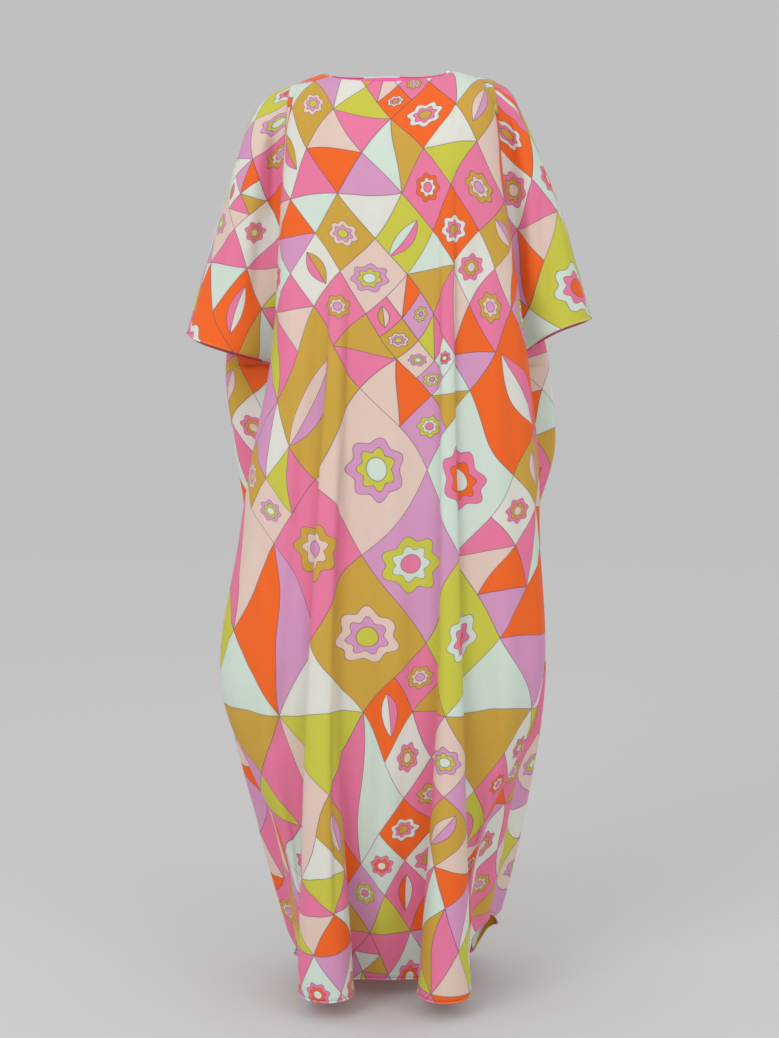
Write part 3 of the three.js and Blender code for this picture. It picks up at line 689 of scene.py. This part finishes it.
def harlequin_print():
    """The print as a group: lozenges in three sizes, some halved, with daisies and leaves."""
    group, c, place, put = new_group("harlequin print", {"Color": "Color", "Line": "Float"})
    noise = flat_noise(group, place, WARP["scale"], 0.0).outputs["Color"]
    centred = vector_math(group, "SUBTRACT", noise, (0.5, 0.5, 0.5))
    warped = vector_math(group, "MULTIPLY_ADD", centred, (WARP["push"], WARP["push"], 0), place)
    u, v = axes_of(group, warped)

    over_u, over_v = c.over(u, CELL["width"]), c.over(v, CELL["height"])
    a, b = c.add(over_u, over_v), c.less(over_u, over_v)
    scale = 1.0
    for row in QUARTERS:
        middle_v = c.times(c.over(c.less(c.floor(a), c.floor(b)), scale), CELL["height"] / 2)
        near_edge = c.most(c.below(middle_v, row["above"]), c.above(middle_v, row["below"]))
        limit = c.add(row["elsewhere"], c.times(near_edge, row["often"]))
        split = c.below(c.chance(c.floor(a), c.floor(b), row["seed"]), limit)
        if row["again"]:
            split = c.times(split, c.above(scale, 1.5))
        grow = c.add(1.0, split)
        a, b, scale = c.times(a, grow), c.times(b, grow), c.times(scale, grow)
    cell_a, cell_b = c.floor(a), c.floor(b)
    fa, fb = c.part(a), c.part(b)
    seed = c.times(scale, 11.3)

    kind = c.chance(cell_a, cell_b, c.add(seed, 1.7))
    has_daisy, halved = c.below(kind, KINDS["daisy"]), c.above(kind, KINDS["leaf"])
    upright = c.above(kind, KINDS["level"])
    sum_half, side_half = c.less(c.add(fa, fb), 1.0), c.less(fa, fb)
    half = c.times(halved, c.above(c.choose(upright, side_half, sum_half), 0.0))
    pick = c.add(c.add(c.times(cell_a, 4.0), c.times(cell_b, 8.0)), c.times(half, 2.0))
    count = float(len(DYES))
    steps = [(k / count, shade) for k, (name, shade) in enumerate(DYES)]

    def dye(offset):
        place = c.over(c.add(c.number("FLOORED_MODULO", c.add(pick, offset), count), 0.5), count)
        return stepped_dyes(group, place, steps)

    ground = dye(0.0)
    edge = c.least(c.least(fa, c.less(1.0, fa)), c.least(fb, c.less(1.0, fb)))
    across_cell = math.hypot(1 / CELL["width"], 1 / CELL["height"])
    edge_gap = c.over(c.over(edge, across_cell), scale)
    upright_gap = c.over(c.times(c.size(sum_half), CELL["width"] / 2), scale)
    level_gap = c.over(c.times(c.size(side_half), CELL["height"] / 2), scale)
    half_gap = c.choose(halved, 1.0, c.choose(upright, level_gap, upright_gap))

    shift = c.less(c.chance(cell_a, cell_b, c.add(seed, 8.8)), 0.5)
    du = c.over(c.add(c.times(sum_half, CELL["width"] / 2), c.times(shift, DAISY["aside"])), scale)
    dv = c.over(c.add(c.times(side_half, CELL["height"] / 2), c.times(shift, DAISY["up"])), scale)
    radius = c.number("SQRT", c.add(c.times(du, du), c.times(dv, dv)))
    angle = c.add(c.number("ARCTAN2", dv, du), c.times(shift, DAISY["turn"]))
    size = c.over(c.add(DAISY["radius"], c.times(shift, DAISY["more"])), scale)
    line_gap = c.least(edge_gap, half_gap)
    color = ground
    for ring in DAISY_RINGS:
        wave = c.times(c.number("COSINE", c.times(angle, ring["petals"])), ring["scallop"] / 2)
        rim = c.times(c.times(size, ring["reach"]), c.add(1.0 - ring["scallop"] / 2, wave))
        color = c.blend(c.times(has_daisy, c.below(radius, rim)), color, dye(ring["dye"]))
        rim_gap = c.choose(has_daisy, 1.0, c.size(c.less(radius, rim)))
        line_gap = c.least(line_gap, rim_gap)
    has_leaf = c.times(c.above(kind, KINDS["daisy"]), c.below(kind, KINDS["leaf"]))
    lean = c.times(shift, LEAF["lean"])
    cosine, sine = c.number("COSINE", lean), c.number("SINE", lean)
    leaf_u = c.add(c.times(du, cosine), c.times(dv, sine))
    leaf_v = c.less(c.times(dv, cosine), c.times(du, sine))
    along = c.over(leaf_v, c.over(LEAF["long"], scale))
    swell = c.times(c.over(LEAF["wide"], scale), c.less(1.0, c.times(along, along)))
    inside = c.times(has_leaf, c.below(c.size(leaf_u), swell))
    color = c.blend(inside, color, dye(LEAF["dyes"][0]))
    color = c.blend(c.times(inside, c.above(leaf_u, 0.0)), color, dye(LEAF["dyes"][1]))
    leaf_gap = c.choose(has_leaf, 1.0, c.size(c.less(c.size(leaf_u), c.most(swell, -1.0))))
    rib_gap = c.choose(inside, 1.0, c.size(leaf_u))
    line_gap = c.least(line_gap, c.least(leaf_gap, rib_gap))
    drawn = c.within(line_gap, PEN["half"], PEN["blur"])
    color = c.blend(c.times(drawn, PEN["strength"]), color, linear(*PEN["dye"]))
    group.links.new(color, put.inputs["Color"])
    group.links.new(drawn, put.inputs["Line"])
    return group


VOILE = {"thread": 0.0007, "thread_height": 0.00004, "slub": (900, 60, 1), "slub_height": 0.00008,
         "crumple": 14.0, "crumple_height": 0.0016, "darkest": 0.965, "tone": 0.07}
STITCHES = {"from_edge": 0.0042, "half": 0.0003, "blur": 0.00015, "pitch": 0.0026, "thread": 0.68}
# How far from a sewn edge the cloth sinks and the painted seam shade reaches
SEAM_SHADE = 0.0012


def voile_weave():
    """The fine uneven weave as a group: a height, and a slight change of tone."""
    group, c, place, put = new_group("voile weave", {"Height": "Float", "Tone": "Float"})
    threads = [c.number("SINE", c.times(axis, 2 * math.pi / VOILE["thread"])) for axis in axes_of(group, place)]
    slub = flat_noise(group, vector_math(group, "MULTIPLY", place, VOILE["slub"]), 1.0, 3.0).outputs["Fac"]
    crumple = flat_noise(group, place, VOILE["crumple"], 3.0).outputs["Fac"]
    height = c.add(c.times(c.times(*threads), VOILE["thread_height"]), c.times(slub, VOILE["slub_height"]))
    height = c.add(height, c.times(crumple, VOILE["crumple_height"]))
    group.links.new(height, put.inputs["Height"])
    group.links.new(c.add(VOILE["darkest"], c.times(slub, VOILE["tone"])), put.inputs["Tone"])
    return group


def sewing_marks():
    """Machine stitches beside a sewn edge as a group: where thread shows, and how the cloth is drawn in beside
    the seam, which also sets where painted shade darkens it.
    """
    group, c, place, put = new_group("sewing marks", {"Thread": "Float", "Shade": "Float"})
    along, away = axes_of(group, place)
    line = c.within(c.size(c.less(away, STITCHES["from_edge"])), STITCHES["half"], STITCHES["blur"])
    dash = c.below(c.part(c.over(along, STITCHES["pitch"])), STITCHES["thread"])
    group.links.new(c.times(line, dash), put.inputs["Thread"])
    group.links.new(c.within(away, SEAM_SHADE, SEAM_SHADE), put.inputs["Shade"])
    return group


PRINT, WEAVE, SEWING = harlequin_print(), voile_weave(), sewing_marks()


def place_group(tree, group, place):
    node = new_node(tree, "ShaderNodeGroup", node_tree=group)
    tree.links.new(place, node.inputs["Place"])
    return node


def new_material(name):
    material = bpy.data.materials.new(name)
    material.use_nodes = True
    material.node_tree.nodes.clear()
    return material, material.node_tree, Chart(material.node_tree)


def bumped(tree, height, strength):
    """The normal of a surface raised by a height in metres."""
    bump = new_node(tree, "ShaderNodeBump")
    for name, value in (("Strength", strength), ("Distance", 1.0), ("Height", height)):
        feed(tree, bump.inputs[name], value)
    return bump.outputs["Normal"]


FADED = (238, 228, 224)
MAGENTA = (206, 44, 120)
# Seam colours: a painted shade beside each seam and the thread, then how far thread stands out and the cloth
# sinks
SEAM = {"shade": (150, 96, 110), "thread": (226, 150, 178), "raised": 0.00012, "sunk": 0.0003}


def printed_cloth(name, bright, through, tint=0.0):
    """Thin printed cloth: bright is the strength of the dyes, through the share of light that
    comes through, and tint the share of the magenta edge dye."""
    material, tree, c = new_material(name)
    cut, sewn = (new_node(tree, "ShaderNodeUVMap", uv_map=layer).outputs["UV"] for layer in ("cut", "sewn"))
    pattern, weave, sewing = (place_group(tree, *pair) for pair in ((PRINT, cut), (WEAVE, cut), (SEWING, sewn)))
    color = c.blend(1.0 - bright, pattern.outputs["Color"], linear(*FADED))
    color = c.blend(tint, color, linear(*MAGENTA))
    grey = new_node(tree, "ShaderNodeCombineColor")
    for socket in grey.inputs:
        tree.links.new(weave.outputs["Tone"], socket)
    color = c.blend(1.0, color, grey.outputs[0], "MULTIPLY")
    # Painted shade beside each seam: darker where the cloth sinks into the seam, and where the seam allowance
    # lies doubled
    color = c.blend(c.times(sewing.outputs["Shade"], 0.22), color, linear(*SEAM["shade"]))
    color = c.blend(c.times(sewing.outputs["Thread"], 0.6), color, linear(*SEAM["thread"]))
    height = c.add(weave.outputs["Height"], c.times(sewing.outputs["Thread"], SEAM["raised"]))
    normal = bumped(tree, c.less(height, c.times(sewing.outputs["Shade"], SEAM["sunk"])), 0.6)
    cloth = new_node(tree, "ShaderNodeBsdfPrincipled")
    tree.links.new(color, cloth.inputs["Base Color"])
    tree.links.new(normal, cloth.inputs["Normal"])
    tree.links.new(c.less(0.86, c.times(weave.outputs["Tone"], 0.12)), cloth.inputs["Roughness"])
    cloth.inputs["Sheen Weight"].default_value = 0.12
    cloth.inputs["Sheen Roughness"].default_value = 0.45
    cloth.inputs["Specular IOR Level"].default_value = 0.25
    glow = new_node(tree, "ShaderNodeBsdfTranslucent")
    tree.links.new(color, glow.inputs["Color"])
    tree.links.new(normal, glow.inputs["Normal"])
    both = new_node(tree, "ShaderNodeMixShader")
    both.inputs[0].default_value = through
    tree.links.new(cloth.outputs[0], both.inputs[1])
    tree.links.new(glow.outputs[0], both.inputs[2])
    output = new_node(tree, "ShaderNodeOutputMaterial")
    tree.links.new(both.outputs[0], output.inputs["Surface"])
    return material


# Where along the neckline each dye of the bias strip starts
BINDING_DYES = [
    (0.0, (214, 140, 52)), (0.035, (196, 196, 60)), (0.07, (226, 70, 150)), (0.38, (232, 92, 164)),
    (0.44, (214, 160, 214)), (0.485, (238, 226, 220)), (0.51, (226, 70, 150)), (0.64, (245, 98, 28)),
    (0.72, (206, 230, 220)), (0.82, (226, 70, 150)), (0.95, (240, 226, 218)),
]
BINDING_THREAD = (236, 170, 196)
BIAS = 0.8


def binding_cloth():
    """The folded bias strip: its length takes stretches of several dyes from the print."""
    material, tree, c = new_material("bias binding")
    cut, sewn = (new_node(tree, "ShaderNodeUVMap", uv_map=layer).outputs["UV"] for layer in ("cut", "sewn"))
    share, wrap = axes_of(tree, cut)
    dyes = stepped_dyes(tree, c.add(share, c.times(wrap, BIAS)), BINDING_DYES)
    weave, sewing = place_group(tree, WEAVE, sewn), place_group(tree, SEWING, sewn)
    thread = sewing.outputs["Thread"]
    cloth = new_node(tree, "ShaderNodeBsdfPrincipled")
    tree.links.new(c.blend(c.times(thread, 0.55), dyes, linear(*BINDING_THREAD)), cloth.inputs["Base Color"])
    height = c.less(weave.outputs["Height"], c.times(thread, 0.0002))
    tree.links.new(bumped(tree, height, 0.5), cloth.inputs["Normal"])
    tree.links.new(c.less(0.9, c.times(weave.outputs["Tone"], 0.12)), cloth.inputs["Roughness"])
    cloth.inputs["Sheen Weight"].default_value = 0.1
    output = new_node(tree, "ShaderNodeOutputMaterial")
    tree.links.new(cloth.outputs[0], output.inputs["Surface"])
    return material


outer_cloth = printed_cloth("printed voile", 0.98, 0.38)
inner_cloth = printed_cloth("printed voile reverse", 0.78, 0.38)
hem_cloth = printed_cloth("rolled hem voile", 1.0, 0.1)
cuff_cloth = printed_cloth("rolled cuff voile", 1.0, 0.1, 0.75)
binding_material = binding_cloth()

# ---------------------------------------------------------------- the cut pieces

columns, rows = fine_columns(), fine_rows()
chest_row = FINE_ROWS["top"]
shoulder_column = FINE_COLUMNS[0][2] + FINE_COLUMNS[1][2]
FLIPS = {"front": -1, "back": 1}
PRINT_START = {"front": (0.03, 0.2), "back": (0.62, 0.31),
               "sleeve_right": (1.3, 0.05), "sleeve_left": (2.1, 0.12)}
BACK_HALF_SHIFT = 0.37

panels = {}
for face in ("front", "back"):
    grid = soften_folds(ease_chest_line(panel_surface(face, columns, rows)))
    normals = surface_normals(grid, FLIPS[face])
    grid = press_creases(grid, normals, CREASES[face])
    centre = len(columns) // 2
    cut = cut_coordinates(grid, centre, chest_row) + np.array(PRINT_START[face])
    sewn = np.stack([cut[..., 1], seam_gaps(grid)], axis=-1)
    panels[face] = {"grid": grid, "cut": cut, "sewn": sewn, "normals": surface_normals(grid, FLIPS[face])}

pieces = []


def finish_piece(obj, node, materials):
    obj.data.materials.clear()
    for material in materials:
        obj.data.materials.append(material)
    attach(obj, "root")
    if node:
        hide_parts(node)
    pieces.append(obj)
    return obj


def sewn_panel(face):
    part = panels[face]
    obj = cloth_piece(f"panel_{face}", part["grid"], FLIPS[face], part["cut"], part["sewn"])
    return finish_piece(obj, f"body_{face}", (outer_cloth, inner_cloth))


def sleeve_halves(side):
    """Both halves of a sleeve, with the overarm seam lying a little to the front."""
    outward = -1 if side == "right" else 1
    sleeve_rows = rows[rows <= ROWS["top"] + ROWS["armhole"] + 1e-9]
    w = np.linspace(0, 1, SLEEVE_COLUMNS + 1)
    edge = 0 if side == "right" else -1
    surfaces = {face: sleeve_surface(face, side, panels[face]["grid"][:len(sleeve_rows), edge], w)
                for face in ("front", "back")}
    made = []
    shift = round(OVERARM_SHIFT * SLEEVE_COLUMNS)
    front = surfaces["front"][:, shift:]
    back = np.concatenate([surfaces["front"][:, shift:0:-1], surfaces["back"]], axis=1)
    for face, grid in (("front", front), ("back", back)):
        flip = outward if face == "front" else -outward
        grid = press_creases(grid, surface_normals(grid, flip), CREASES[f"sleeve_{side}_{face}"])
        cut = cut_coordinates(grid, 0, 0) * np.array([flip, 1]) + np.array(PRINT_START[f"sleeve_{side}"])
        if face == "back":
            cut = cut + BACK_HALF_SHIFT
        sewn = np.stack([cut[..., 1], seam_gaps(grid)], axis=-1)
        obj = cloth_piece(f"sleeve_{side}_{face}_half", grid, flip, cut, sewn, pointed=True)
        made.append({"obj": obj, "face": face, "grid": grid, "cut": cut,
                     "normals": surface_normals(grid, flip), "node": f"sleeve_{side}_{face}"})
    return made


front_panel, back_panel = sewn_panel("front"), sewn_panel("back")
for face, panel in (("front", front_panel), ("back", back_panel)):
    part = panels[face]
    hem = rolled_edge(f"hem_{face}", part["grid"][-1], part["normals"][-1], part["cut"][-1])
    finish_piece(hem, None, (hem_cloth,))
for side in ("right", "left"):
    for half in sleeve_halves(side):
        obj = finish_piece(half["obj"], half["node"], (outer_cloth, inner_cloth))
        cuff = rolled_edge(f"cuff_hem_{side}_{half['face']}", half["grid"][-1], half["normals"][-1],
                           half["cut"][-1])
        finish_piece(cuff, None, (cuff_cloth if half["face"] == "back" else hem_cloth,))


def neckline():
    """The neckline once round, the front from right to left and then the back."""
    inside = slice(shoulder_column, len(columns) - shoulder_column)
    line = [panels["front"]["grid"][0, inside], panels["back"]["grid"][0, inside][::-1][1:-1]]
    normals = [panels["front"]["normals"][0, inside], panels["back"]["normals"][0, inside][::-1][1:-1]]
    return np.concatenate(line), np.concatenate(normals)


def sewn_binding():
    """The folded strip round the neckline, rounded at its inner edge."""
    line, normals = neckline()
    for _ in range(3):
        normals = (np.roll(normals, 1, axis=0) + 2 * normals + np.roll(normals, -1, axis=0)) / 4
    along = np.roll(line, -1, axis=0) - np.roll(line, 1, axis=0)
    along = along / np.linalg.norm(along, axis=1, keepdims=True)
    inward = np.cross(normals, along)
    inward = inward / np.linalg.norm(inward, axis=1, keepdims=True)
    out = np.cross(along, inward)
    sides, width = BINDING["sides"], BINDING["width"]
    angle = np.linspace(0, 2 * np.pi, sides, endpoint=False)
    reach = np.sign(np.cos(angle)) * np.abs(np.cos(angle)) ** BINDING["squared"]
    rise = np.sign(np.sin(angle)) * np.abs(np.sin(angle)) ** BINDING["squared"]
    rings = (line[:, None] + inward[:, None] * (width / 2 * (1 + reach) - BINDING["past_edge"])[None, :, None]
             + out[:, None] * (BINDING["thick"] / 2 * rise)[None, :, None])
    count = len(line)
    wrap, from_fold = ((1 + way * reach) * width / 2 * MM for way in (1, -1))
    cut = np.stack([np.repeat(np.arange(count) / count, sides), np.tile(wrap, count)], axis=1)
    sewn = np.stack([np.repeat(lengths_along(line), sides), np.tile(from_fold, count)], axis=1)
    obj = tube("neckline_binding", rings, True, cut, sewn)
    return finish_piece(obj, "neck_binding", (binding_material,))


binding = sewn_binding()

# ---------------------------------------------------------------- floor, light and camera

FLOOR = -1.488
bpy.ops.mesh.primitive_circle_add(vertices=96, radius=30, fill_type="NGON", location=(0, 0, FLOOR))
floor = bpy.context.object
floor.name = "floor"
floor_paint = bpy.data.materials.new("pale floor")
floor_paint.use_nodes = True
paint = floor_paint.node_tree.nodes["Principled BSDF"]
paint.inputs["Base Color"].default_value = (0.56, 0.56, 0.56, 1)
paint.inputs["Roughness"].default_value = 0.9
paint.inputs["Specular IOR Level"].default_value = 0.1
floor.data.materials.append(floor_paint)

scene = bpy.context.scene
world = bpy.data.worlds.new("studio")
scene.world = world
world.use_nodes = True
sky = world.node_tree
sky.nodes.clear()
seen = new_node(sky, "ShaderNodeBackground")
seen.inputs["Color"].default_value = linear(192, 192, 192)
lit = new_node(sky, "ShaderNodeBackground")
lit.inputs["Color"].default_value = (1, 1, 1, 1)
lit.inputs["Strength"].default_value = 0.9
path = new_node(sky, "ShaderNodeLightPath")
choice = new_node(sky, "ShaderNodeMixShader")
sky.links.new(path.outputs["Is Camera Ray"], choice.inputs[0])
sky.links.new(lit.outputs[0], choice.inputs[1])
sky.links.new(seen.outputs[0], choice.inputs[2])
sky_out = new_node(sky, "ShaderNodeOutputWorld")
sky.links.new(choice.outputs[0], sky_out.inputs["Surface"])


def softbox(name, place, aim, size, power):
    lamp = bpy.data.lights.new(name, "AREA")
    lamp.shape = "RECTANGLE"
    lamp.size, lamp.size_y = size
    lamp.energy = power
    obj = bpy.data.objects.new(name, lamp)
    obj.location = place
    direction = np.array(aim, float) - np.array(place, float)
    flat = math.hypot(direction[0], direction[1])
    obj.rotation_euler = (math.atan2(flat, -direction[2]), 0, math.atan2(-direction[0], direction[1]))
    scene.collection.objects.link(obj)
    return obj


softbox("key softbox", (-2.2, -3.2, 1.2), (0, 0, -0.7), (1.8, 2.4), 62)
softbox("fill softbox", (2.4, -3.0, 0.4), (0, 0, -0.8), (1.8, 2.4), 26)

# The camera's focal length and the picture's height, both in picture points
FOCAL, PICTURE_HEIGHT, SENSOR = 2180, 1038, 36
PITCH = math.radians(6.96)
camera_data = bpy.data.cameras.new("camera")
camera_data.lens = FOCAL / PICTURE_HEIGHT * SENSOR
camera_data.clip_end = 100
camera = bpy.data.objects.new("camera", camera_data)
camera.location = (0, -3.49, -0.285)
camera.rotation_euler = (math.pi / 2 - PITCH, 0, 0)
scene.collection.objects.link(camera)
scene.camera = camera
scene.view_settings.view_transform = "Standard"
scene.view_settings.look = "None"
